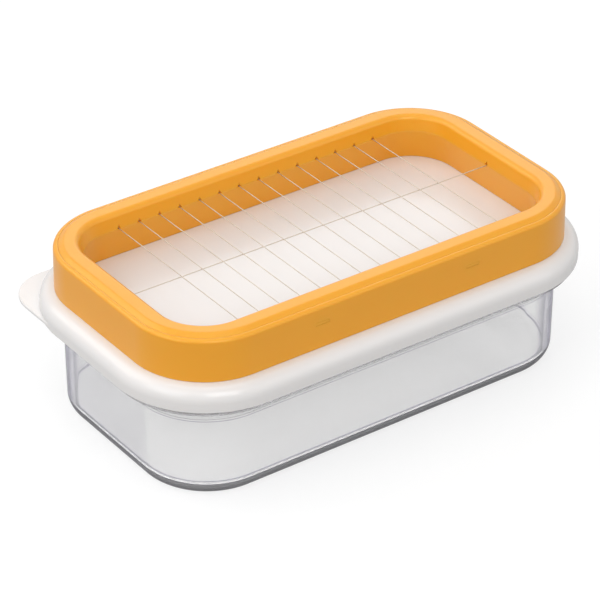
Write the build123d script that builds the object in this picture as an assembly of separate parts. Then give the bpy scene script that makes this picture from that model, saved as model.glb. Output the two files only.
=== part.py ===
from build123d import *
import os

# Wire butter slicer on its storage case, in millimetres.
# +X runs along the case, the front is -Y and +Z is up.
# The origin is the middle of the case's underside. "Out" is a distance from the middle along X.
# Every outline is a rounded rectangle whose sides stand as far out from the tray's along X as along Y.

# Tray
tray_length = 157.6
tray_width = 87.0
tray_corner = 24.4
tray_draft = 0.3
tray_wall = 1.85
tray_floor = 1.8
tray_bottom_radius = 6.0
tray_inside_radius = 4.5
foot_height = 0.6
foot_ring_width = 3.0
rim_height = 44.9
rim_inset = 0.8
rim_bead = 0.3
rim_bead_height = 1.2
flange_depth = 9.9
flange_thickness = 1.2
flange_reach = 6.0
ledge_depth = 14.9
ledge_width = 0.35

# Lid
lid_overhang = 7.8
lid_corner_softening = 0.8
lid_wall = 1.3
lid_shoulder_radius = 5.0
lid_shoulder_drop = 0.3
lid_skirt_taper = 0.2
lid_panel_drop = 0.8
lid_panel_thickness = 1.1
grip_wall = 0.95
plug_depth = 4.9
clip_depth = 4.4
tab_corner = 14.4
tab_inset = 0.4
tab_thickness = 1.2
tab_rise = 0.8

# Cutter frame: a base ring with a hollow channel, and a cap ring that closes it
frame_overhang = 2.2
frame_corner_tightening = 0.6
frame_base_height = 14.7
frame_height = 15.7
frame_wall = 2.5
frame_lean = 0.2
frame_shoulder_radius = 1.3
frame_floor = 1.6
rebate_inset = 1.8
cap_plate = 2.0
cap_slope_width = 1.6
cap_rib_height = 2.0
cap_rib_thickness = 1.2
border_width = 10.1
opening_corner_tightening = 1.5
opening_flare_below = 2.2
opening_flare_above = 1.5
opening_edge_radius = 2.0
opening_wall = 2.0
parting_height = 10.2

# Snap hooks that hold the cap down
hook_place = 29.2
hook_width = 5.0
hook_length = 5.9
hook_nose_height = 1.0
hook_nose_lead = 0.5

# Wires and the crimped ferrules on their ends
wire_diameter = 0.3
wire_count = 14
wire_pitch = 7.8
notch_width = 1.5
notch_height = 1.1
ferrule_diameter = 1.6
ferrule_length = 3.0

# Clearances
loose_gap = 0.3
close_gap = 0.1
wire_gap = 0.02

# Bevel on the edges that slide past each other
edge_bevel = 0.3

# Outlines, each as the half length and half width of the core that its corner arcs are centred on
tray_out = tray_length / 2
tray_core = (tray_out - tray_corner, tray_width / 2 - tray_corner)
lid_core = (tray_core[0] - lid_corner_softening, tray_core[1] - lid_corner_softening)
frame_core = (tray_core[0] + frame_corner_tightening, tray_core[1] + frame_corner_tightening)
opening_core = (frame_core[0] + opening_corner_tightening, frame_core[1] + opening_corner_tightening)

# The tray's rim and the lid that grips it, with depths measured down from the rim's top
flange_bottom = rim_height - flange_depth
flange_top = flange_bottom + flange_thickness
ledge_height = rim_height - ledge_depth
floor_top = foot_height + tray_floor
rim_out = tray_out - rim_inset
rim_in = tray_out - tray_wall
bead_out = rim_out + rim_bead
plug_out = rim_in - loose_gap
plug_in = plug_out - grip_wall
clip_in = bead_out + loose_gap
clip_out = clip_in + grip_wall
lid_out = tray_out + lid_overhang
skirt_bottom = flange_top + loose_gap
ridge_top = rim_height + grip_wall
shoulder_top = rim_height - lid_shoulder_drop
panel_top = rim_height - lid_panel_drop

# The cutter frame on the lid
frame_out = tray_out + frame_overhang
frame_bottom = shoulder_top
frame_top = frame_bottom + frame_height
base_top = frame_bottom + frame_base_height
recess_top = ridge_top + loose_gap
channel_floor = recess_top + frame_floor
channel_out = frame_out - frame_wall
rebate_out = frame_out - rebate_inset
cap_underside = frame_top - cap_plate
opening_out = frame_out - border_width
channel_in = opening_out + opening_wall
parting = frame_bottom + parting_height
base_slope = opening_flare_below / parting_height
cap_slope = opening_flare_above / (frame_top - parting)
hook_foot = cap_underside - hook_length
nose_top = hook_foot + hook_nose_lead + hook_nose_height

# The wires: the cross wires lie on the base's inner walls, and the long wire passes just under them
wire_level = parting + wire_diameter / 2 + wire_gap
long_wire_level = wire_level - wire_diameter - wire_gap
wire_places = [wire_pitch * (i - (wire_count - 1) / 2) for i in range(wire_count)]
ferrule_start = channel_in + close_gap + base_slope * ferrule_diameter


def outline(corners):
    """A closed profile in the XZ plane from (out, up) corners. A third number rounds a corner."""
    face = make_face(Plane.XZ * Polyline(*[corner[:2] for corner in corners], close=True)).face()
    for out, up, *radius in corners:
        if radius:
            tip = face.vertices().sort_by_distance(Vector(out, 0, up))[0]
            face = face.fillet_2d(*radius, [tip])
    return face


def band(core, corners):
    """A profile carried once round a rounded rectangle with its corner arcs centred on the core."""
    profile = outline([(corner[0] - core[0], *corner[1:]) for corner in corners])
    pieces = []
    for turn, (along, across) in enumerate([core, core[::-1], core, core[::-1]]):
        place = Rot(0, 0, 90 * turn) * Pos(along, across, 0)
        pieces.append(place * revolve(profile, Axis.Z, 90))
        pieces.append(place * extrude(profile, 2 * across, dir=(0, -1, 0)))
    return pieces[0].fuse(*pieces[1:]).clean()


def block(core, low, high):
    """The plain middle of a piece, inside its core."""
    return Pos(0, 0, (low + high) / 2) * Box(2 * core[0], 2 * core[1], high - low)


def bar(low, high):
    """A box between two opposite corners."""
    size = Vector(*high) - Vector(*low)
    return Pos((Vector(*low) + Vector(*high)) / 2) * Box(*size)


def wall_place(core, out, along):
    """How far a wall of an outline stands from the middle of the case along Y, at a place along X."""
    radius = out - core[0]
    past_core = max(abs(along) - core[0], 0)
    return core[1] + (radius**2 - past_core**2) ** 0.5


def tray():
    """Clear tray: drafted walls on a foot ring, a flange round the outside and a thinner rim above it."""
    base_out = tray_out - tray_draft
    foot_in = base_out - tray_bottom_radius - foot_ring_width
    wall_in = rim_in - ledge_width
    wall = band(
        tray_core,
        [
            (tray_core[0], foot_height),
            (foot_in - foot_height, foot_height),
            (foot_in, 0),
            (base_out, 0, tray_bottom_radius),
            (tray_out, flange_bottom),
            (tray_out + flange_reach, flange_bottom),
            (tray_out + flange_reach, flange_top),
            (rim_out, flange_top),
            (rim_out, rim_height - rim_bead_height - rim_bead),
            (bead_out, rim_height - rim_bead_height),
            (bead_out, rim_height - edge_bevel),
            (bead_out - edge_bevel, rim_height),
            (rim_in, rim_height),
            (rim_in, ledge_height),
            (wall_in, ledge_height),
            (wall_in - tray_draft, floor_top, tray_inside_radius),
            (tray_core[0], floor_top),
        ],
    )
    return wall + block(tray_core, foot_height, floor_top)


def lid_tab():
    """Thin pull tab that squares off the lid's rear left corner, cut away inside the skirt."""
    tab_out = lid_out - tab_inset
    corner_shift = lid_out - lid_core[0] - tab_inset - tab_corner
    tab_core = (lid_core[0] + corner_shift, lid_core[1] + corner_shift)
    low = skirt_bottom + tab_rise
    high = low + tab_thickness
    plate = band(tab_core, [(tab_core[0], low), (tab_out, low), (tab_out, high), (tab_core[0], high)])
    plate += block(tab_core, low, high)
    skirt_in = lid_out - lid_skirt_taper - lid_wall / 2
    inside = band(lid_core, [(lid_core[0], low), (skirt_in, low), (skirt_in, high), (lid_core[0], high)])
    rear_left = bar((-tab_out, lid_core[1], low), (-lid_core[0], tab_out, high))
    return (plate & rear_left) - inside


def lid():
    """Soft lid: a sunk panel inside a ridge that grips the tray's rim, a rounded shoulder and a skirt."""
    grip = band(
        tray_core,
        [
            (tray_core[0], panel_top - lid_panel_thickness),
            (plug_in, panel_top - lid_panel_thickness),
            (plug_in, rim_height - plug_depth),
            (plug_out - edge_bevel, rim_height - plug_depth),
            (plug_out, rim_height - plug_depth + edge_bevel),
            (plug_out, rim_height),
            (clip_in, rim_height),
            (clip_in, rim_height - clip_depth + edge_bevel),
            (clip_in + edge_bevel, rim_height - clip_depth),
            (clip_out, rim_height - clip_depth),
            (clip_out, ridge_top),
            (plug_in, ridge_top),
            (plug_in, panel_top),
            (tray_core[0], panel_top),
        ],
    )
    shoulder_in = (clip_in + clip_out) / 2
    inner_bevel = (lid_shoulder_radius - lid_wall) * (2 - 2**0.5)
    shell = band(
        lid_core,
        [
            (shoulder_in, shoulder_top),
            (lid_out, shoulder_top, lid_shoulder_radius),
            (lid_out - lid_skirt_taper, skirt_bottom),
            (lid_out - lid_skirt_taper - lid_wall, skirt_bottom),
            (lid_out - lid_wall, shoulder_top - lid_wall - inner_bevel),
            (lid_out - lid_wall - inner_bevel, shoulder_top - lid_wall),
            (shoulder_in, shoulder_top - lid_wall),
        ],
    )
    return grip + shell + block(tray_core, panel_top - lid_panel_thickness, panel_top) + lid_tab()


def opening():
    """The frame's opening, as a solid: narrowest at the wires, flaring to a rounded edge on top."""
    low = frame_bottom - frame_floor
    high = frame_top + frame_floor
    flare = opening_out + opening_flare_above
    side = band(
        opening_core,
        [
            (opening_core[0], low),
            (opening_out + base_slope * (parting - low), low),
            (opening_out, parting),
            (flare, frame_top, opening_edge_radius),
            (flare + 2 * opening_edge_radius, frame_top),
            (flare + 2 * opening_edge_radius, high),
            (opening_core[0], high),
        ],
    )
    return side + block(opening_core, low, high)


def hook_windows():
    """The slots in the base ring's long sides that the cap's hooks catch in."""
    low = hook_foot + hook_nose_lead - close_gap
    reach = hook_width / 2 + close_gap
    wall_in = wall_place(frame_core, channel_out, 0) - close_gap
    wall_out = wall_place(frame_core, frame_out, 0) + close_gap
    slot = bar((hook_place - reach, wall_in, low), (hook_place + reach, wall_out, nose_top))
    half = slot + mirror(slot, Plane.YZ)
    return half + mirror(half, Plane.XZ)


def wire_grooves():
    """The grooves that let the long wire lie a little lower in the base ring's end walls."""
    half_width = wire_diameter / 2 + wire_gap
    low = long_wire_level - half_width
    start = opening_out - wire_diameter
    end = channel_in + opening_wall
    groove = bar((start, -half_width, low), (end, half_width, parting))
    return groove + mirror(groove, Plane.YZ)


def frame_base():
    """Base ring: outer wall, hollow channel, leaning inner wall, and a recess for the lid's ridge."""
    inside = opening_core[0]
    lip_bottom = panel_top + loose_gap
    recess_in = plug_in - loose_gap
    recess_out = clip_out + loose_gap
    ring = band(
        frame_core,
        [
            (inside, lip_bottom),
            ((recess_in + recess_out) / 2, lip_bottom),
            ((recess_in + recess_out) / 2, frame_bottom),
            (frame_out, frame_bottom),
            (frame_out - frame_lean, base_top, frame_shoulder_radius),
            (rebate_out, base_top),
            (rebate_out, cap_underside),
            (channel_out, cap_underside),
            (channel_out, channel_floor),
            (channel_in + base_slope * (parting - channel_floor), channel_floor),
            (channel_in, parting),
            (inside, parting),
        ],
    )
    low = frame_bottom - frame_floor
    recess = band(
        tray_core,
        [(recess_in, low), (recess_out, low), (recess_out, recess_top), (recess_in, recess_top)],
    )
    return ring - recess - opening() - hook_windows() - wire_grooves()


def snap_hook():
    """The cap ring's rear right hook: a leg and a nose that ends flush with the outer wall."""
    leg_out = wall_place(frame_core, channel_out, 0) - close_gap
    leg_in = leg_out - cap_rib_thickness
    tip = wall_place(frame_core, frame_out - frame_lean, 0)
    nose_foot = hook_foot + hook_nose_lead
    side = Polyline(
        (leg_in, cap_underside),
        (leg_in, hook_foot),
        (leg_out, hook_foot),
        (leg_out, nose_foot),
        (tip, nose_foot),
        (tip, nose_top - close_gap),
        (leg_out, nose_top - close_gap),
        (leg_out, cap_underside),
        close=True,
    )
    hook = extrude(make_face(Plane.YZ * side), hook_width, dir=(1, 0, 0))
    return Pos(hook_place - hook_width / 2, 0, 0) * hook


def wire_notches():
    """The notches in the cap ring's lower edge that leave room for the wires."""
    tooth = Polyline(
        (-notch_width / 2, parting), (0, parting + notch_height), (notch_width / 2, parting), close=True
    )
    across = make_face(Plane.XZ * tooth)
    along = make_face(Plane.YZ * tooth)
    depth = wall_place(opening_core, channel_in + opening_wall, 0)
    cuts = [Pos(place, 0, 0) * extrude(across, depth, both=True) for place in wire_places]
    cuts.append(extrude(along, channel_in + opening_wall, both=True))
    return cuts


def frame_cap():
    """Cap ring: top plate, inner skirt down to the wires, locating rib and snap hooks."""
    inside = opening_core[0]
    rib_out = channel_out - close_gap
    rib_in = rib_out - cap_rib_thickness
    cap_out = rebate_out - close_gap
    ring = band(
        frame_core,
        [
            (inside, parting),
            (channel_in, parting),
            (channel_in + cap_slope * (cap_underside - parting), cap_underside),
            (rib_in, cap_underside),
            (rib_in, cap_underside - cap_rib_height),
            (rib_out, cap_underside - cap_rib_height),
            (rib_out, cap_underside),
            (cap_out, cap_underside),
            (cap_out, base_top),
            (cap_out - cap_slope_width, frame_top),
            (inside, frame_top),
        ],
    )
    hooks = snap_hook() + mirror(snap_hook(), Plane.YZ)
    hooks += mirror(hooks, Plane.XZ)
    return (ring - opening() - wire_notches()) + hooks


def rod(diameter, start, end):
    """A round bar between two points on a line along X or Y."""
    line = Vector(*end) - Vector(*start)
    return extrude(Plane(origin=start, z_dir=line) * Circle(diameter / 2), line.length)


def ferrule(start, end):
    """A sleeve on a wire's end, crimped to six sides round the wire."""
    line = Vector(*end) - Vector(*start)
    bore = RegularPolygon(wire_diameter / 2 + wire_gap, 6, major_radius=False)
    barrel = RegularPolygon(ferrule_diameter / 2, 6) - bore
    return extrude(Plane(origin=start, z_dir=line) * barrel, line.length)


def cross_wire(place):
    """One wire across the opening, from ferrule end to ferrule end."""
    reach = wall_place(frame_core, ferrule_start, place) + ferrule_length
    return rod(wire_diameter, (place, -reach, wire_level), (place, reach, wire_level))


def long_wire():
    """The wire along the middle, which halves the block."""
    reach = ferrule_start + ferrule_length
    return rod(wire_diameter, (-reach, 0, long_wire_level), (reach, 0, long_wire_level))


def cross_ferrules(side):
    """The ferrules of all cross wires on one side of the frame."""
    sleeves = []
    for place in wire_places:
        near = side * wall_place(frame_core, ferrule_start, place)
        far = near + side * ferrule_length
        sleeves.append(ferrule((place, near, wire_level), (place, far, wire_level)))
    return Compound(sleeves)


def long_ferrule(side):
    """The ferrule on one end of the long wire."""
    near = side * ferrule_start
    far = near + side * ferrule_length
    return ferrule((near, 0, long_wire_level), (far, 0, long_wire_level))


nodes = {
    "tray": tray(),
    "lid": lid(),
    "frame_base": frame_base(),
    "frame_cap": frame_cap(),
    "long_wire": long_wire(),
    "front_ferrules": cross_ferrules(-1),
    "rear_ferrules": cross_ferrules(1),
    "left_ferrule": long_ferrule(-1),
    "right_ferrule": long_ferrule(1),
}
for number, place in enumerate(wire_places, 1):
    nodes[f"cross_wire_{number:02d}"] = cross_wire(place)

os.makedirs("parts", exist_ok=True)
for name, solid in nodes.items():
    export_step(solid, f"parts/{name}.step")
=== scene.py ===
import bpy
import bmesh
import math
from mathutils import Matrix, Vector


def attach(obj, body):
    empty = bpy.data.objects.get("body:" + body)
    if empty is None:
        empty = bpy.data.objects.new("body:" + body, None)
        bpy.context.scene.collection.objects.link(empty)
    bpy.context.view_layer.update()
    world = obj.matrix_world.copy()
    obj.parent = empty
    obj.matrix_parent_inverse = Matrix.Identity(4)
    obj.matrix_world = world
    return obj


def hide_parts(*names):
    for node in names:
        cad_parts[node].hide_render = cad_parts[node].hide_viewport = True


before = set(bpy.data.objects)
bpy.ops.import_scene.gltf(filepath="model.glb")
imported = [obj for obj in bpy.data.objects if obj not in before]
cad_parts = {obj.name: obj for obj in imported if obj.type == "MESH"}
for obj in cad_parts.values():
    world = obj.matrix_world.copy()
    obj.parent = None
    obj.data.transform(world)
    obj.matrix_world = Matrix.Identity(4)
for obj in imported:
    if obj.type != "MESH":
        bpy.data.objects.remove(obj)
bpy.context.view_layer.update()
mm = 0.001
slimmer = 35.3  # every outline is this much less out along Y than along X
tiny = 0.002  # points closer than this are one point
weld = 0.001  # and after a cut, closer than this
faceWeight = 60  # how much more the large faces count in the shading, 50 being even

# Sizes are in millimetres unless a note says otherwise. "Out" and "in" are distances from the
# middle of the case along X. Each ring is one profile carried round a rounded rectangle, whose
# corners turn about the corners of its core.

# a rounded corner takes the segments of the first pair whose radius is above its own
cornerSegments = [(0.5, 3), (1, 5), (math.inf, 10)]


def clearSelection():
    if bpy.context.mode != "OBJECT":
        bpy.ops.object.mode_set(mode="OBJECT")
    bpy.ops.object.select_all(action="DESELECT")


def takeUp(piece):
    clearSelection()
    piece.select_set(True)
    bpy.context.view_layer.objects.active = piece


def pick(piece, test):
    # selects what the test says of each vertex's place, in edit mode
    bpy.ops.mesh.select_mode(type="VERT")
    bpy.ops.mesh.select_all(action="DESELECT")
    mesh = bmesh.from_edit_mesh(piece.data)
    for vertex in mesh.verts:
        vertex.select = test(vertex.co / mm)
    mesh.select_flush(True)
    bmesh.update_edit_mesh(piece.data)


def near(place):
    target = Vector(place)
    return lambda at: (at - target).length < tiny


def startAt(name, place):
    # a plane merged to one vertex, ready to be extruded
    clearSelection()
    bpy.ops.mesh.primitive_plane_add(size=mm)
    piece = bpy.context.object
    piece.name = piece.data.name = name
    bpy.ops.object.mode_set(mode="EDIT")
    bpy.ops.mesh.select_all(action="SELECT")
    bpy.ops.mesh.merge(type="CENTER")
    bpy.ops.transform.translate(value=Vector(place) * mm)
    return piece


def extrudeBy(step):
    bpy.ops.mesh.extrude_region_move(TRANSFORM_OT_translate={"value": Vector(step) * mm})


def drawProfile(name, corners, closed):
    # extrudes from corner to corner in the XZ plane; a third number rounds a corner
    places = [Vector((corner[0], 0, corner[1])) for corner in corners]
    piece = startAt(name, places[0])
    for start, end in zip(places, places[1:]):
        extrudeBy(end - start)
    if closed:
        first, last = near(places[0]), near(places[-1])
        pick(piece, lambda at: first(at) or last(at))
        bpy.ops.mesh.edge_face_add()
    for i, corner in enumerate(corners):
        if len(corner) < 3:
            continue
        radius = corner[2]
        before = (places[i - 1] - places[i]).normalized()
        after = (places[(i + 1) % len(places)] - places[i]).normalized()
        pick(piece, near(places[i]))
        bpy.ops.mesh.bevel(
            affect="VERTICES", offset_type="OFFSET",
            offset=radius / math.tan(before.angle(after) / 2) * mm,
            segments=next(count for limit, count in cornerSegments if radius < limit))
    bpy.ops.mesh.select_all(action="SELECT")
    return piece


def carryRound(core, steps):
    # takes the selected profile once round its core, clockwise seen from above
    along, across = core * mm, (core - slimmer) * mm
    bpy.ops.transform.translate(value=(0, across, 0))
    sides = [(0, -across), (-along, 0), (0, across), (along, 0)]
    turns = [(along, -across), (-along, -across), (-along, across), (along, across)]
    for side, turn in zip(sides, turns):
        bpy.ops.mesh.extrude_region_move(
            TRANSFORM_OT_translate={"value": (2 * side[0], 2 * side[1], 0)})
        bpy.ops.mesh.spin(
            steps=steps, angle=math.pi / 2, center=(turn[0], turn[1], 0), axis=(0, 0, 1))
    bpy.ops.mesh.select_all(action="SELECT")
    bpy.ops.mesh.remove_doubles(threshold=tiny * mm)
    bpy.ops.mesh.select_all(action="DESELECT")


def closeMiddle(piece, core, level):
    # fills the plain rectangle that an open profile leaves inside its core
    along, across = core + tiny, core - slimmer + tiny
    pick(piece, lambda at: abs(at.z - level) < tiny and abs(at.x) < along and abs(at.y) < across)
    bpy.ops.mesh.edge_face_add()


def faceOut():
    bpy.ops.mesh.select_all(action="SELECT")
    bpy.ops.mesh.normals_make_consistent(inside=False)
    bpy.ops.object.mode_set(mode="OBJECT")


def ring(name, core, steps, corners):
    # a closed profile all the way round, open in the middle
    piece = drawProfile(name, corners, closed=True)
    carryRound(core, steps)
    faceOut()
    return piece


def slab(name, core, steps, corners):
    # an open profile that starts and ends on its core, with the middle filled in
    piece = drawProfile(name, corners, closed=False)
    carryRound(core, steps)
    closeMiddle(piece, core, corners[0][1])
    closeMiddle(piece, core, corners[-1][1])
    faceOut()
    return piece


def bar(name, low, high):
    # a block between two corners, used only to cut or to be shaped further
    clearSelection()
    low, high = Vector(low) * mm, Vector(high) * mm
    bpy.ops.mesh.primitive_cube_add(size=1, location=(low + high) / 2, scale=high - low)
    piece = bpy.context.object
    piece.name = piece.data.name = name
    bpy.ops.object.transform_apply(location=True, rotation=True, scale=True)
    return piece


def copyTo(piece, step, turn=0):
    # a copy with its own mesh, moved and then turned about the middle of the case
    takeUp(piece)
    bpy.ops.object.duplicate()
    twin = bpy.context.object
    bpy.ops.object.mode_set(mode="EDIT")
    bpy.ops.mesh.select_all(action="SELECT")
    bpy.ops.transform.translate(value=Vector(step) * mm)
    bpy.ops.transform.rotate(value=math.radians(turn), orient_axis="Z", center_override=(0, 0, 0))
    bpy.ops.object.mode_set(mode="OBJECT")
    return twin


def combine(piece, other, how):
    # cuts, joins or keeps the overlap with another mesh, which is used up
    takeUp(piece)
    bpy.ops.object.modifier_add(type="BOOLEAN")
    change = piece.modifiers[-1]
    change.operation = how
    change.solver = "EXACT"
    change.object = other
    bpy.ops.object.modifier_apply(modifier=change.name)
    bpy.data.objects.remove(other)
    bpy.ops.object.mode_set(mode="EDIT")
    bpy.ops.mesh.select_all(action="SELECT")
    bpy.ops.mesh.remove_doubles(threshold=weld * mm)
    clearSelection()


def smooth(piece, angle):
    takeUp(piece)
    bpy.ops.object.shade_smooth_by_angle(angle=math.radians(angle))
    bpy.ops.object.modifier_add(type="WEIGHTED_NORMAL")
    weighted = piece.modifiers[-1]
    weighted.keep_sharp = True
    weighted.weight = faceWeight
    bpy.ops.object.modifier_apply(modifier=weighted.name)
    print(piece.name, len(piece.data.polygons), "faces")
    clearSelection()


tray = {
    "core": 54.4,
    "cornerSteps": 28,
    "floorTop": 3.2,
    "foot": 0.6,  # the floor rises this far inside the foot ring, on a long soft ramp
    "footIn": 70.5,
    "rampIn": 62.0,
    "rampRounding": 18.0,
    "baseOut": 78.5,
    "baseRadius": 5.0,
    "wallOut": 78.8,
    "flangeBottom": 34.5,
    "flangeTop": 36.2,
    "flangeOut": 84.8,
    "flangeRounding": 0.35,
    "rimOut": 78.0,
    "rimIn": 76.95,
    "rimTop": 44.9,
    "beadOut": 78.3,
    "beadBottom": 43.4,
    "ledge": 28.5,
    "ledgeRounding": 0.12,
    "wallIn": 76.6,
    "step": 4.9,
    "stepIn": 76.3,
    "stepRounding": 0.15,
    "stepCove": 0.3,
    "floorIn": 75.4,
    "floorRadius": 1.4,
    "smoothAngle": 35,
}


def makeTray():
    v = tray
    soft = v["flangeRounding"]
    piece = slab("trayShell", v["core"], v["cornerSteps"], [
        (v["core"], v["foot"]),
        (v["rampIn"], v["foot"], v["rampRounding"]),
        (v["footIn"], 0, v["rampRounding"]),
        (v["baseOut"], 0, v["baseRadius"]),
        (v["wallOut"], v["flangeBottom"], soft),
        (v["flangeOut"], v["flangeBottom"], soft),
        (v["flangeOut"], v["flangeTop"], soft),
        (v["rimOut"], v["flangeTop"], soft),
        (v["rimOut"], v["beadBottom"]),
        (v["beadOut"], v["beadBottom"] + v["beadOut"] - v["rimOut"]),
        (v["beadOut"], v["rimTop"], soft),
        (v["rimIn"], v["rimTop"], soft),
        (v["rimIn"], v["ledge"], v["ledgeRounding"]),
        (v["wallIn"], v["ledge"], v["ledgeRounding"]),
        (v["stepIn"], v["step"], v["stepRounding"]),
        (v["floorIn"], v["step"], v["stepCove"]),
        (v["floorIn"], v["floorTop"], v["floorRadius"]),
        (v["core"], v["floorTop"]),
    ])
    smooth(piece, v["smoothAngle"])
    return piece


lid = {
    "gripCore": 54.4,
    "shellCore": 53.6,
    "cornerSteps": 24,
    "edge": 0.3,  # rounding of the plug's, the clip's and the skirt's edges
    "panelTop": 44.1,
    "panelBottom": 43.0,
    "panelCove": 0.5,
    "plugIn": 75.7,
    "plugOut": 76.65,
    "plugBottom": 40.0,
    "clipIn": 78.6,
    "clipOut": 79.55,
    "clipBottom": 40.5,
    "seat": 44.9,
    "ridgeTop": 45.85,
    "ridgeRounding": 0.4,
    "shoulderIn": 79.07,
    "shoulderTop": 44.57,  # a hair under the cutter's foot
    "shoulderRadius": 5.0,
    "out": 86.6,
    "taper": 0.2,
    "wall": 1.3,
    "skirtBottom": 36.5,
    "smoothAngle": 35,
}


def makeLid():
    v = lid
    edge = v["edge"]
    piece = slab("lidCover", v["gripCore"], v["cornerSteps"], [
        (v["gripCore"], v["panelTop"]),
        (v["plugIn"], v["panelTop"], v["panelCove"]),
        (v["plugIn"], v["ridgeTop"], v["ridgeRounding"]),
        (v["clipOut"], v["ridgeTop"], v["ridgeRounding"]),
        (v["clipOut"], v["clipBottom"], edge),
        (v["clipIn"], v["clipBottom"], edge),
        (v["clipIn"], v["seat"]),
        (v["plugOut"], v["seat"]),
        (v["plugOut"], v["plugBottom"], edge),
        (v["plugIn"], v["plugBottom"], edge),
        (v["plugIn"], v["panelBottom"], edge),
        (v["gripCore"], v["panelBottom"]),
    ])
    skirtOut = v["out"] - v["taper"]
    shell = ring("lidShell", v["shellCore"], v["cornerSteps"], [
        (v["shoulderIn"], v["shoulderTop"]),
        (v["out"], v["shoulderTop"], v["shoulderRadius"]),
        (skirtOut, v["skirtBottom"], edge),
        (skirtOut - v["wall"], v["skirtBottom"], edge),
        (v["out"] - v["wall"], v["shoulderTop"] - v["wall"], v["shoulderRadius"] - v["wall"]),
        (v["shoulderIn"], v["shoulderTop"] - v["wall"]),
    ])
    combine(piece, shell, "UNION")
    combine(piece, makeTab(), "UNION")
    smooth(piece, v["smoothAngle"])
    return piece


tab = {
    "out": 86.2,
    "corner": 14.4,
    "cornerSteps": 16,
    "bottom": 37.3,
    "top": 38.5,
    "edge": 0.35,
    "past": 1.0,  # how far the blocks that trim it reach beyond it
}


def makeTab():
    # the pull tab squares off the rear left corner: a rounded plate, kept only outside the skirt
    v = tab
    core = v["out"] - v["corner"]
    plate = slab("lidTab", core, v["cornerSteps"], [
        (core, v["bottom"]),
        (v["out"], v["bottom"], v["edge"]),
        (v["out"], v["top"], v["edge"]),
        (core, v["top"]),
    ])
    below, above = v["bottom"] - v["past"], v["top"] + v["past"]
    beyond = v["out"] + v["past"]
    low = (-beyond, lid["shellCore"] - slimmer, below)
    high = (-lid["shellCore"], beyond, above)
    combine(plate, bar("tabCorner", low, high), "INTERSECT")
    skirtMiddle = lid["out"] - lid["taper"] - lid["wall"] / 2
    inside = slab("tabInside", lid["shellCore"], lid["cornerSteps"], [
        (lid["shellCore"], below),
        (skirtMiddle, below),
        (skirtMiddle, above),
        (lid["shellCore"], above),
    ])
    combine(plate, inside, "DIFFERENCE")
    return plate


# what the two rings of the cutter share
cutter = {
    "core": 55.0,
    "cornerSteps": 24,
    "bottom": 44.6,
    "top": 60.3,
    "parting": 54.8,  # where the rings meet and the wires lie
    "shoulderTop": 59.3,
    "capUnderside": 58.3,
    "channelOut": 78.5,
    "channelIn": 72.9,
    "edge": 0.12,
    "smoothAngle": 30,
}

opening = {
    "core": 56.5,
    "out": 70.9,
    "below": 72.8,
    "above": 72.15,
    "edgeRadius": 2.0,
    "seam": 0.18,
    "past": 1.6,  # how far the cut starts below the cutter and ends above it
}


def makeOpening(name):
    # narrowest at the wires, with a fine seam there and a rounded edge on top
    v, c = opening, cutter
    low, high = c["bottom"] - v["past"], c["top"] + v["past"]
    slope = (v["below"] - v["out"]) / (c["parting"] - c["bottom"])
    return slab(name, v["core"], c["cornerSteps"], [
        (v["core"], low),
        (v["out"] + slope * (c["parting"] - low), low),
        (v["out"] + v["seam"] / 2, c["parting"] - v["seam"]),
        (v["out"] + v["seam"], c["parting"]),
        (v["out"] + v["seam"] / 2, c["parting"] + v["seam"]),
        (v["above"], c["top"], v["edgeRadius"]),
        (v["above"] + 2 * v["edgeRadius"], c["top"]),
        (v["above"] + 2 * v["edgeRadius"], high),
        (v["core"], high),
    ])


base = {
    "lipBottom": 44.2,
    "out": 81.0,
    "lean": 0.2,
    "footRounding": 0.12,
    "shoulderRadius": 1.3,
    "rebateOut": 79.2,
    "channelFloor": 47.75,
    "channelInBelow": 74.42,
    "channelCove": 0.8,
    "recessCore": 54.4,
    "recessIn": 75.4,
    "recessOut": 79.85,
    "recessTop": 46.15,
    "windowWidth": 5.2,
    "windowBottom": 52.8,
    "windowTop": 53.9,
    "windowIn": 43.0,  # these two are along Y
    "windowOut": 47.0,
    "grooveWidth": 0.34,
    "grooveDepth": 0.32,
    "grooveBefore": 1.0,  # how far the groove for the long wire starts in front of the wall
    "groovePast": 2.0,  # and ends behind it, in the channel
}


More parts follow.
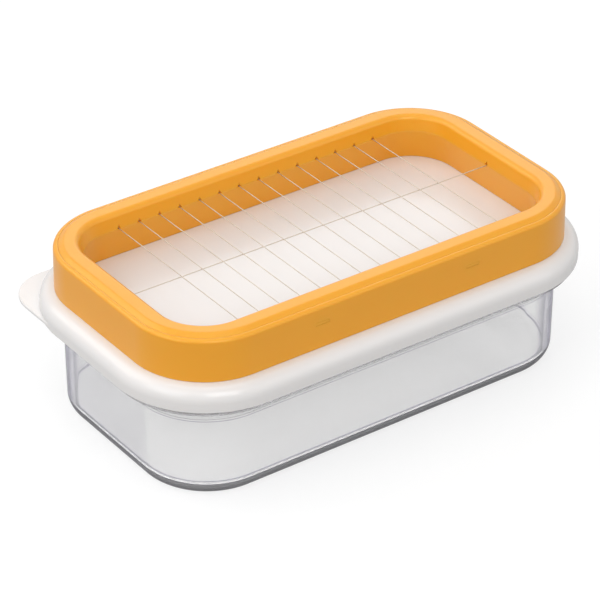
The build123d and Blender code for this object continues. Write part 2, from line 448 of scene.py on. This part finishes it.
def makeFrameBase():
    v, c = base, cutter
    inside = opening["core"]
    lip = (v["recessIn"] + v["recessOut"]) / 2
    piece = ring("frameBaseRing", c["core"], c["cornerSteps"], [
        (inside, v["lipBottom"]),
        (lip, v["lipBottom"]),
        (lip, c["bottom"]),
        (v["out"], c["bottom"], v["footRounding"]),
        (v["out"] - v["lean"], c["shoulderTop"], v["shoulderRadius"]),
        (v["rebateOut"], c["shoulderTop"], c["edge"]),
        (v["rebateOut"], c["capUnderside"]),
        (c["channelOut"], c["capUnderside"]),
        (c["channelOut"], v["channelFloor"], v["channelCove"]),
        (v["channelInBelow"], v["channelFloor"], v["channelCove"]),
        (c["channelIn"], c["parting"]),
        (inside, c["parting"]),
    ])
    below = c["bottom"] - opening["past"]
    recess = ring("recess", v["recessCore"], c["cornerSteps"], [
        (v["recessIn"], below),
        (v["recessOut"], below),
        (v["recessOut"], v["recessTop"]),
        (v["recessIn"], v["recessTop"]),
    ])
    combine(piece, recess, "DIFFERENCE")
    combine(piece, makeOpening("baseOpening"), "DIFFERENCE")
    low = (-v["windowWidth"] / 2, v["windowIn"], v["windowBottom"])
    high = (v["windowWidth"] / 2, v["windowOut"], v["windowTop"])
    combineEach(piece, bar("window", low, high), hookPlaces(), "DIFFERENCE")
    start, end = opening["out"] - v["grooveBefore"], c["channelIn"] + v["groovePast"]
    low = (start, -v["grooveWidth"] / 2, c["parting"] - v["grooveDepth"])
    high = (end, v["grooveWidth"] / 2, c["parting"] + v["grooveDepth"])
    combineEach(piece, bar("groove", low, high), [(0, 0), (0, 180)], "DIFFERENCE")
    smooth(piece, c["smoothAngle"])
    return piece


def combineEach(piece, tool, places, how):
    # uses up a copy of the tool at each place, given as a step along X and a turn
    for along, turn in places:
        combine(piece, copyTo(tool, (along, 0, 0), turn), how)
    bpy.data.objects.remove(tool)


hook = {
    "place": 29.2,
    "width": 5.14,
    "legIn": 41.9,  # these three are along Y
    "legOut": 43.1,
    "noseOut": 45.56,
    "foot": 52.4,
    "noseBottom": 52.83,
    "noseTop": 53.87,
    "edge": 0.08,
    "edgeSegments": 2,
    "overlap": 0.5,  # how far the leg runs up into the cap's plate
}


def hookPlaces():
    return [(along, turn) for along in (-hook["place"], hook["place"]) for turn in (0, 180)]


def makeHook():
    # a leg with a nose that ends flush with the outer wall, in its window
    v = hook
    low = (-v["width"] / 2, v["legIn"], v["foot"])
    high = (v["width"] / 2, v["legOut"], cutter["capUnderside"] + v["overlap"])
    piece = bar("hook", low, high)
    bpy.ops.object.mode_set(mode="EDIT")
    for level in (v["noseBottom"], v["noseTop"]):
        bpy.ops.mesh.select_all(action="SELECT")
        bpy.ops.mesh.bisect(plane_co=(0, 0, level * mm), plane_no=(0, 0, 1))
    under, over = v["noseBottom"] - tiny, v["noseTop"] + tiny
    pick(piece, lambda at: at.y > v["legOut"] - tiny and under < at.z < over)
    extrudeBy((0, v["noseOut"] - v["legOut"], 0))
    bpy.ops.mesh.bevel(offset=v["edge"] * mm, segments=v["edgeSegments"])
    faceOut()
    return piece


cap = {
    "out": 79.17,
    "slopeIn": 77.5,
    "topRounding": 1.5,
    "ribOut": 78.4,
    "ribIn": 77.2,
    "ribBottom": 56.3,
    "channelInAbove": 73.85,
}


def makeFrameCap():
    v, c = cap, cutter
    inside = opening["core"]
    under = c["capUnderside"]
    piece = ring("frameCapRing", c["core"], c["cornerSteps"], [
        (inside, c["parting"]),
        (c["channelIn"], c["parting"]),
        (v["channelInAbove"], under),
        (v["ribIn"], under),
        (v["ribIn"], v["ribBottom"]),
        (v["ribOut"], v["ribBottom"]),
        (v["ribOut"], under),
        (v["out"], under),
        (v["out"], c["shoulderTop"], c["edge"]),
        (v["slopeIn"], c["top"], v["topRounding"]),
        (inside, c["top"]),
    ])
    combine(piece, makeOpening("capOpening"), "DIFFERENCE")
    for cut in makeNotches():
        combine(piece, cut, "DIFFERENCE")
    combineEach(piece, makeHook(), hookPlaces(), "UNION")
    smooth(piece, c["smoothAngle"])
    return piece


notch = {
    "width": 1.7,
    "height": 1.3,
    "below": 0.1,
    "before": 1.0,  # how far the cut starts in front of the wall
    "depth": 0.7,
    "count": 14,
    "pitch": 7.8,
}


def makeNotches():
    # a three-sided pocket, copied to a row for each side and to one for each end
    v = notch
    half = v["width"] / 2
    wall = opening["out"] - slimmer
    pocket = startAt("notch", (-half, wall + v["depth"], cutter["parting"] - v["below"]))
    extrudeBy((v["width"], 0, 0))
    extrudeBy((-half, 0, v["height"] + v["below"]))
    bpy.ops.mesh.select_all(action="SELECT")
    bpy.ops.mesh.edge_face_add()
    extrudeBy((0, -v["depth"] - v["before"], 0))
    faceOut()
    ends = [copyTo(pocket, (0, slimmer, 0), turn) for turn in (90, -90)]
    row = copyTo(pocket, (-v["pitch"] * (v["count"] - 1) / 2, 0, 0))
    bpy.data.objects.remove(pocket)
    takeUp(row)
    bpy.ops.object.modifier_add(type="ARRAY")
    repeat = row.modifiers[-1]
    repeat.count = v["count"]
    repeat.use_relative_offset = False
    repeat.use_constant_offset = True
    repeat.constant_offset_displace = (v["pitch"] * mm, 0, 0)
    bpy.ops.object.modifier_apply(modifier=repeat.name)
    return [row, copyTo(row, (0, 0, 0), 180), *ends]


def settle(piece, body, node):
    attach(piece, body)
    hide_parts(node)


trayShell = makeTray()
lidCover = makeLid()
frameBaseRing = makeFrameBase()
frameCapRing = makeFrameCap()
settle(trayShell, "tray", "tray")
settle(lidCover, "lid", "lid")
settle(frameBaseRing, "cutter", "frame_base")
settle(frameCapRing, "cutter", "frame_cap")


noiseDetail = 4
noiseRange = (0.3, 0.7)  # nearly all of a noise's values lie between these


def newMaterial(name):
    material = bpy.data.materials.new(name)
    material.use_nodes = True
    nodes = material.node_tree.nodes
    return material, nodes, material.node_tree.links, nodes["Principled BSDF"]


def noise(nodes, links, scale, detail=noiseDetail, stretch=(1, 1, 1)):
    place = nodes.new("ShaderNodeTexCoord")
    along = nodes.new("ShaderNodeMapping")
    along.inputs["Scale"].default_value = stretch
    grain = nodes.new("ShaderNodeTexNoise")
    grain.inputs["Scale"].default_value = scale
    grain.inputs["Detail"].default_value = detail
    links.new(place.outputs["Object"], along.inputs["Vector"])
    links.new(along.outputs["Vector"], grain.inputs["Vector"])
    return grain.outputs["Fac"]


def roughen(nodes, links, shader, height, strength, depth):
    bump = nodes.new("ShaderNodeBump")
    bump.inputs["Strength"].default_value = strength
    bump.inputs["Distance"].default_value = depth * mm
    links.new(height, bump.inputs["Height"])
    links.new(bump.outputs["Normal"], shader.inputs["Normal"])


def blend(nodes, links, kind, amount, first, second):
    # mixes two numbers or two colours; the first may be another node's output
    mix = nodes.new("ShaderNodeMix")
    mix.data_type = kind
    wanted = "VALUE" if kind == "FLOAT" else kind
    ends = [entry for entry in mix.inputs if entry.name in ("A", "B") and entry.type == wanted]
    if isinstance(first, bpy.types.NodeSocket):
        links.new(first, ends[0])
    else:
        ends[0].default_value = first
    ends[1].default_value = second
    links.new(amount, mix.inputs["Factor"])
    return next(entry for entry in mix.outputs if entry.type == wanted)


def spread(nodes, links, amount, limits, socket):
    # takes a noise from one limit to the other
    scale = nodes.new("ShaderNodeMapRange")
    scale.inputs["From Min"].default_value, scale.inputs["From Max"].default_value = noiseRange
    scale.inputs["To Min"].default_value, scale.inputs["To Max"].default_value = limits
    links.new(amount, scale.inputs["Value"])
    links.new(scale.outputs["Result"], socket)


orangeMoulding = {
    "colour": (0.82, 0.33, 0.018, 1),
    "paler": (0.83, 0.345, 0.023, 1),
    "roughness": (0.28, 0.34),
    "gloss": 0.75,
    "glossTint": (0.7, 1, 0.5, 1),
    "through": 0.25,
    "throughRadius": (1.0, 0.35, 0.1),
    "throughScale": 0.002,  # metres
    "clouds": 40,
    "grain": 900,
    "grainStrength": 0.05,
    "grainDepth": 0.2,
}

whiteMoulding = {
    "colour": (0.742, 0.722, 0.712, 1),
    "paler": (0.752, 0.734, 0.724, 1),
    "roughness": (0.18, 0.24),
    "gloss": 0.6,
    "glossTint": (1, 1, 1, 1),
    "through": 0.2,
    "throughRadius": (1.0, 0.9, 0.8),
    "throughScale": 0.0015,  # metres
    "clouds": 30,
    "grain": 700,
    "grainStrength": 0.05,
    "grainDepth": 0.2,
}


def makePlastic(name, v):
    # satin moulded plastic: faint clouds in colour and gloss, and a fine grain
    material, nodes, links, shader = newMaterial(name)
    clouds = noise(nodes, links, v["clouds"])
    cloudy = blend(nodes, links, "RGBA", clouds, v["colour"], v["paler"])
    links.new(cloudy, shader.inputs["Base Color"])
    spread(nodes, links, clouds, v["roughness"], shader.inputs["Roughness"])
    shader.inputs["Specular IOR Level"].default_value = v["gloss"]
    shader.inputs["Specular Tint"].default_value = v["glossTint"]
    shader.inputs["Subsurface Weight"].default_value = v["through"]
    shader.inputs["Subsurface Radius"].default_value = v["throughRadius"]
    shader.inputs["Subsurface Scale"].default_value = v["throughScale"]
    grain = noise(nodes, links, v["grain"])
    roughen(nodes, links, shader, grain, v["grainStrength"], v["grainDepth"])
    print("material", name)
    return material


clearMoulding = {
    "colour": (0.97, 0.97, 0.965, 1),
    # painted shade: the dark colour laid on where the surface is seen edgeways and at the inside
    # steps
    "paintedShadeColour": (0.14, 0.13, 0.22, 1),
    "turned": (0.45, 0.85),  # how far the surface turns away where painted shade darkens it towards the shade colour, standing in for the dark surroundings seen through the plastic edgeways
    "paintedLineHalf": 0.08,  # painted dark lines on the flat tops of the inside steps, this near their height
    "clarity": 0.83,  # the rest is a faint milkiness
    "bend": 1.53,
    "shadow": (0.9, 0.9, 0.9, 1),
    "depthColour": (0.10, 0.08, 0.15, 1),
    "depthDensity": 33,
    "waves": 22,
    "waveStrength": 0.1,
    "waveDepth": 0.1,
}


def addPaintedLines(nodes, links, amount, paintedLineLevels, half):
    # painted dark lines: raises the amount to 1 wherever the surface lies at one of these heights
    place = nodes.new("ShaderNodeTexCoord")
    split = nodes.new("ShaderNodeSeparateXYZ")
    links.new(place.outputs["Object"], split.inputs["Vector"])
    for level in paintedLineLevels:
        match = nodes.new("ShaderNodeMath")
        match.operation = "COMPARE"
        links.new(split.outputs["Z"], match.inputs[0])
        match.inputs[1].default_value = level * mm
        match.inputs[2].default_value = half * mm
        larger = nodes.new("ShaderNodeMath")
        larger.operation = "MAXIMUM"
        links.new(amount, larger.inputs[0])
        links.new(match.outputs["Value"], larger.inputs[1])
        amount = larger.outputs["Value"]
    return amount


def makeClear():
    # clear hard plastic: painted shade where it is looked at edgeways and painted dark lines at
    # the inside steps, light where it is thin
    v = clearMoulding
    material, nodes, links, shader = newMaterial("clearMoulding")
    # painted shade: the colour darkens as the surface turns edgeways to the view
    turned = nodes.new("ShaderNodeLayerWeight")
    edgeShadeRange = nodes.new("ShaderNodeMapRange")
    edgeShadeRange.interpolation_type = "SMOOTHSTEP"
    edgeShadeRange.inputs["From Min"].default_value, edgeShadeRange.inputs["From Max"].default_value = v["turned"]
    links.new(turned.outputs["Facing"], edgeShadeRange.inputs["Value"])
    # painted dark lines at the heights of the inside step and the ledge
    paintedLineLevels = (tray["step"], tray["ledge"])
    paintedShadeAmount = addPaintedLines(nodes, links, edgeShadeRange.outputs["Result"], paintedLineLevels, v["paintedLineHalf"])
    paintedShadeMix = blend(nodes, links, "RGBA", paintedShadeAmount, v["colour"], v["paintedShadeColour"])
    links.new(paintedShadeMix, shader.inputs["Base Color"])
    shader.inputs["Roughness"].default_value = 0
    shader.inputs["IOR"].default_value = v["bend"]
    shader.inputs["Transmission Weight"].default_value = v["clarity"]
    waves = noise(nodes, links, v["waves"], detail=0)
    roughen(nodes, links, shader, waves, v["waveStrength"], v["waveDepth"])
    through = nodes.new("ShaderNodeBsdfTransparent")
    through.inputs["Color"].default_value = v["shadow"]
    path = nodes.new("ShaderNodeLightPath")
    mix = nodes.new("ShaderNodeMixShader")
    links.new(path.outputs["Is Shadow Ray"], mix.inputs[0])
    links.new(shader.outputs[0], mix.inputs[1])
    links.new(through.outputs[0], mix.inputs[2])
    links.new(mix.outputs[0], nodes["Material Output"].inputs["Surface"])
    depth = nodes.new("ShaderNodeVolumeAbsorption")
    depth.inputs["Color"].default_value = v["depthColour"]
    depth.inputs["Density"].default_value = v["depthDensity"]
    links.new(depth.outputs[0], nodes["Material Output"].inputs["Volume"])
    print("material clearMoulding")
    return material


drawnSteel = {
    "colour": (0.57, 0.515, 0.435, 1),
    "darker": (0.51, 0.465, 0.395, 1),
    "roughness": (0.45, 0.55),
    "streaks": 60,
    "stretch": (1, 1, 20),
    "metal": 1,
}


def makeSteel():
    # drawn stainless wire, slightly uneven
    v = drawnSteel
    material, nodes, links, shader = newMaterial("drawnSteel")
    streaks = noise(nodes, links, v["streaks"], stretch=v["stretch"])
    streaked = blend(nodes, links, "RGBA", streaks, v["colour"], v["darker"])
    links.new(streaked, shader.inputs["Base Color"])
    spread(nodes, links, streaks, v["roughness"], shader.inputs["Roughness"])
    shader.inputs["Metallic"].default_value = v["metal"]
    print("material drawnSteel")
    return material


def dress(piece, material):
    piece.data.materials.clear()
    piece.data.materials.append(material)


dress(trayShell, makeClear())
dress(lidCover, makePlastic("whiteMoulding", whiteMoulding))
orange = makePlastic("orangeMoulding", orangeMoulding)
dress(frameBaseRing, orange)
dress(frameCapRing, orange)
steel = makeSteel()
for name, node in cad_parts.items():
    if "wire" in name or "ferrule" in name:
        for slot in node.material_slots:
            slot.material = steel


def glowTo(nodes, links, plain, seen, socket):
    # one strength for light on the object, then others for what is seen, mirrored or seen through
    path = nodes.new("ShaderNodeLightPath")
    strength = plain
    for kind, other in seen.items():
        strength = blend(nodes, links, "FLOAT", path.outputs[kind], strength, other)
    links.new(strength, socket)


paleFloor = {
    "size": 6,  # metres
    "drop": 0.05,  # below the case, so that their faces never share a plane
    "colour": (0.36, 0.36, 0.36, 1),
    "roughness": 0.8,
    "gloss": 0.1,
    "plainGlow": 0.13,
    "seenGlow": {"Is Camera Ray": 0.655, "Is Glossy Ray": 0.3, "Is Transmission Ray": 1.02},
}


def makeFloor():
    v = paleFloor
    clearSelection()
    bpy.ops.mesh.primitive_plane_add(size=v["size"], location=(0, 0, -v["drop"] * mm))
    floor = bpy.context.object
    floor.name = "floor"
    material, nodes, links, shader = newMaterial("paleFloor")
    shader.inputs["Base Color"].default_value = v["colour"]
    shader.inputs["Roughness"].default_value = v["roughness"]
    shader.inputs["Specular IOR Level"].default_value = v["gloss"]
    glow = nodes.new("ShaderNodeEmission")
    glowTo(nodes, links, v["plainGlow"], v["seenGlow"], glow.inputs["Strength"])
    add = nodes.new("ShaderNodeAddShader")
    links.new(shader.outputs[0], add.inputs[0])
    links.new(glow.outputs[0], add.inputs[1])
    links.new(add.outputs[0], nodes["Material Output"].inputs["Surface"])
    dress(floor, material)
    print("floor")


surround = {
    "colour": (1, 1, 1, 1),
    "plainGlow": 0.54,
    "seenGlow": {"Is Camera Ray": 1, "Is Glossy Ray": 1, "Is Transmission Ray": 0.12},
}

lampsAim = (0, 0, 30)

# heading (the rear is 0, the right 90) and height in degrees, distance and width in metres,
# and power in watts
lamps = {
    "overhead": (0, 88, 1.2, 0.8, 1.8),
    "rearSoftbox": (36, 32, 1.2, 0.6, 1.2),
    "rearLeft": (320, 40, 1.2, 0.8, 3.6),
    "leftFill": (262, 36, 1.2, 0.8, 3.5),
    "frontFill": (200, 40, 1.2, 0.6, 3.8),
    "rightFill": (145, 30, 1.3, 0.8, 1.4),
}


def makeSurround():
    v = surround
    world = bpy.data.worlds.new("surround")
    bpy.context.scene.world = world
    world.use_nodes = True
    nodes, links = world.node_tree.nodes, world.node_tree.links
    background = nodes["Background"]
    background.inputs["Color"].default_value = v["colour"]
    glowTo(nodes, links, v["plainGlow"], v["seenGlow"], background.inputs["Strength"])
    print("surround")


def makeLamp(name, heading, height, distance, width, power):
    turn, rise = math.radians(heading), math.radians(height)
    level = math.cos(rise)
    away = Vector((math.sin(turn) * level, math.cos(turn) * level, math.sin(rise)))
    light = bpy.data.lights.new(name, "AREA")
    light.size, light.energy = width, power
    lamp = bpy.data.objects.new(name, light)
    lamp.location = Vector(lampsAim) * mm + away * distance
    lamp.rotation_euler = (-away).to_track_quat("-Z", "Y").to_euler()
    bpy.context.scene.collection.objects.link(lamp)
    print("lamp", name)


view = {
    "target": (0, 0, 26.6),
    "azimuth": -36.02,
    "elevation": 32.01,
    "roll": 0.26,
    "distance": 992.2,
    "lens": 183.11,
    "shift": (-0.0209, 0.0051),
}


def makeCamera():
    v = view
    turn, rise = math.radians(v["azimuth"]), math.radians(v["elevation"])
    level = math.cos(rise)
    back = Vector((math.sin(turn) * level, -math.cos(turn) * level, math.sin(rise)))
    lens = bpy.data.cameras.new("camera")
    lens.lens = v["lens"]
    lens.shift_x, lens.shift_y = v["shift"]
    camera = bpy.data.objects.new("camera", lens)
    camera.location = (Vector(v["target"]) + back * v["distance"]) * mm
    aim = (-back).to_track_quat("-Z", "Y").to_matrix().to_4x4()
    camera.rotation_euler = (aim @ Matrix.Rotation(math.radians(v["roll"]), 4, "Z")).to_euler()
    bpy.context.scene.collection.objects.link(camera)
    bpy.context.scene.camera = camera
    print("camera")


makeFloor()
makeSurround()
for name, values in lamps.items():
    makeLamp(name, *values)
makeCamera()
bpy.context.scene.view_settings.view_transform = "Standard"
